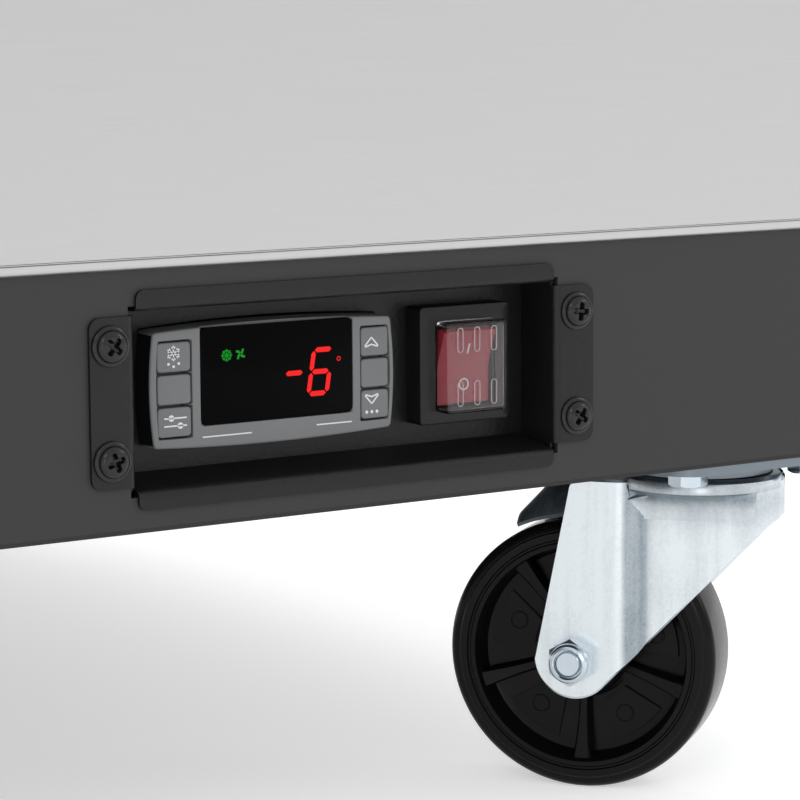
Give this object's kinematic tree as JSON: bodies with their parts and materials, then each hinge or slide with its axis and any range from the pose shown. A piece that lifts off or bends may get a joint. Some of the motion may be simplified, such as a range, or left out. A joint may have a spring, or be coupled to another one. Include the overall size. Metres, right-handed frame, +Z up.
{
  "type": "chest freezer",
  "caption": "Stainless steel chest freezer on swivel casters, with a hinged lid, wire baskets, a stepped tub, a machine room and a control recess in the kick panel.",
  "frame": {"origin": "on the floor, under the middle of the closed freezer's outer box", "axes": "+Z up, +X to the right seen from the front, +Y from the front to the back"},
  "size_m": [1.06, 0.662, 0.86],
  "materials": {
    "stainless": "satin",
    "zinc_sheet": "matte",
    "tub_white": "gloss",
    "foam": "matte",
    "rim_grey": "satin",
    "black_powder": "satin",
    "control_box_powder": "matte",
    "screw_steel": "satin",
    "controller_black": "satin",
    "bezel_grey": "matte",
    "window_dark": "gloss",
    "key_grey": "matte",
    "switch_black": "satin",
    "rocker_red": "gloss",
    "clear_cover": "gloss",
    "machine_black": "gloss",
    "feet_rubber": "matte",
    "coil_aluminium": "satin",
    "copper": "satin",
    "vent_black": "matte",
    "hinge_steel": "satin",
    "lid_white": "satin",
    "gasket_grey": "matte",
    "handle_black": "satin",
    "lock_metal": "polished",
    "basket_wire": "gloss",
    "zinc_plate": "satin",
    "bolt_zinc": "polished",
    "wheel_black": "gloss"
  },
  "bodies": {
    "cabinet": {"front_panel": "stainless", "side_panel_left": "stainless", "side_panel_right": "stainless", "back_panel": "zinc_sheet", "inner_tub": "tub_white", "foam_body": "foam", "rim_frame": "rim_grey", "bottom_liner": "zinc_sheet", "base_tray": "black_powder", "kick_panel": "black_powder", "control_box": "control_box_powder", "control_box_screws": "screw_steel", "controller_housing": "controller_black", "controller_bezel": "bezel_grey", "display_window": "window_dark", "switch_housing": "switch_black", "switch_cover": "clear_cover", "compressor": "machine_black", "compressor_feet": "feet_rubber", "condenser_coil": "coil_aluminium", "fan_shroud": "machine_black", "fan_motor": "machine_black", "filter_drier": "copper", "refrigerant_tubes": "copper", "evaporator_coil": "coil_aluminium", "side_grille": "vent_black", "cord_gland": "vent_black", "hinge_bodies": "hinge_steel", "hinge_pins": "hinge_steel", "lock_catch": "lock_metal", "caster_plates": "zinc_plate", "caster_bolts": "bolt_zinc"},
    "lid": {"hinge_arms": "hinge_steel", "lid_skin": "stainless", "lid_liner": "lid_white", "lid_foam": "foam", "lid_gasket": "gasket_grey", "lid_handle": "handle_black"},
    "lock": {"lock_cylinder": "lock_metal"},
    "basket_left": {"basket_left": "basket_wire"},
    "basket_right": {"basket_right": "basket_wire"},
    "key_defrost": {"key_defrost": "key_grey"},
    "key_set": {"key_set": "key_grey"},
    "key_up": {"key_up": "key_grey"},
    "key_down": {"key_down": "key_grey"},
    "rocker": {"switch_rocker": "rocker_red"},
    "fan": {"fan_blade": "coil_aluminium"},
    "drain_plug": {"drain_plug": "feet_rubber"},
    "fork_front_left": {"fork_front_left": "zinc_plate", "axle_front_left": "bolt_zinc"},
    "wheel_front_left": {"wheel_front_left": "wheel_black"},
    "fork_front_right": {"fork_front_right": "zinc_plate", "axle_front_right": "bolt_zinc"},
    "wheel_front_right": {"wheel_front_right": "wheel_black"},
    "fork_rear_left": {"fork_rear_left": "zinc_plate", "axle_rear_left": "bolt_zinc"},
    "wheel_rear_left": {"wheel_rear_left": "wheel_black"},
    "fork_rear_right": {"fork_rear_right": "zinc_plate", "axle_rear_right": "bolt_zinc"},
    "wheel_rear_right": {"wheel_rear_right": "wheel_black"}
  },
  "joints": [
    {"name": "lid_hinge", "type": "hinge", "parent": "cabinet", "child": "lid", "pos_m": [0, 0.322, 0.812], "axis": [-1, 0, 0], "range_deg": [0, 80]},
    {"name": "lock_turn", "type": "hinge", "parent": "lid", "child": "lock", "pos_m": [0.056, -0.325, 0.828], "axis": [0, 1, 0], "range_deg": [0, 90]},
    {"name": "basket_left_slide", "type": "slide", "parent": "cabinet", "child": "basket_left", "axis": [1, 0, 0], "range_m": [0, 0.15]},
    {"name": "basket_right_slide", "type": "slide", "parent": "cabinet", "child": "basket_right", "axis": [-1, 0, 0], "range_m": [0, 0.15]},
    {"name": "key_defrost_press", "type": "slide", "parent": "cabinet", "child": "key_defrost", "axis": [0, 1, 0], "range_m": [0, 0.0004], "stiffness_N_per_m": 400},
    {"name": "key_set_press", "type": "slide", "parent": "cabinet", "child": "key_set", "axis": [0, 1, 0], "range_m": [0, 0.0004], "stiffness_N_per_m": 400},
    {"name": "key_up_press", "type": "slide", "parent": "cabinet", "child": "key_up", "axis": [0, 1, 0], "range_m": [0, 0.0004], "stiffness_N_per_m": 400},
    {"name": "key_down_press", "type": "slide", "parent": "cabinet", "child": "key_down", "axis": [0, 1, 0], "range_m": [0, 0.0004], "stiffness_N_per_m": 400},
    {"name": "rocker_tilt", "type": "hinge", "parent": "cabinet", "child": "rocker", "pos_m": [0.366, -0.296, 0.1398], "axis": [-1, 0, 0], "range_deg": [0, 20]},
    {"name": "fan_spin", "type": "hinge", "parent": "cabinet", "child": "fan", "pos_m": [0.44, -0.03, 0.2613], "axis": [1, 0, 0], "continuous": true},
    {"name": "drain_plug_pull", "type": "slide", "parent": "cabinet", "child": "drain_plug", "axis": [0, 0, 1], "range_m": [0, 0.03]},
    {"name": "swivel_front_left", "type": "hinge", "parent": "cabinet", "child": "fork_front_left", "pos_m": [-0.4702, -0.2716, 0.098], "axis": [0, 0, 1], "continuous": true},
    {"name": "roll_front_left", "type": "hinge", "parent": "fork_front_left", "child": "wheel_front_left", "pos_m": [-0.49136, -0.24499, 0.0413], "axis": [-0.7826, -0.6225, 0], "continuous": true},
    {"name": "swivel_front_right", "type": "hinge", "parent": "cabinet", "child": "fork_front_right", "pos_m": [0.4702, -0.2716, 0.098], "axis": [0, 0, 1], "continuous": true},
    {"name": "roll_front_right", "type": "hinge", "parent": "fork_front_right", "child": "wheel_front_right", "pos_m": [0.44904, -0.24499, 0.0413], "axis": [-0.7826, -0.6225, 0], "continuous": true},
    {"name": "swivel_rear_left", "type": "hinge", "parent": "cabinet", "child": "fork_rear_left", "pos_m": [-0.4702, 0.258, 0.098], "axis": [0, 0, 1], "continuous": true},
    {"name": "roll_rear_left", "type": "hinge", "parent": "fork_rear_left", "child": "wheel_rear_left", "pos_m": [-0.49136, 0.28461, 0.0413], "axis": [-0.7826, -0.6225, 0], "continuous": true},
    {"name": "swivel_rear_right", "type": "hinge", "parent": "cabinet", "child": "fork_rear_right", "pos_m": [0.4702, 0.258, 0.098], "axis": [0, 0, 1], "continuous": true},
    {"name": "roll_rear_right", "type": "hinge", "parent": "fork_rear_right", "child": "wheel_rear_right", "pos_m": [0.44904, 0.28461, 0.0413], "axis": [-0.7826, -0.6225, 0], "continuous": true}
  ]
}
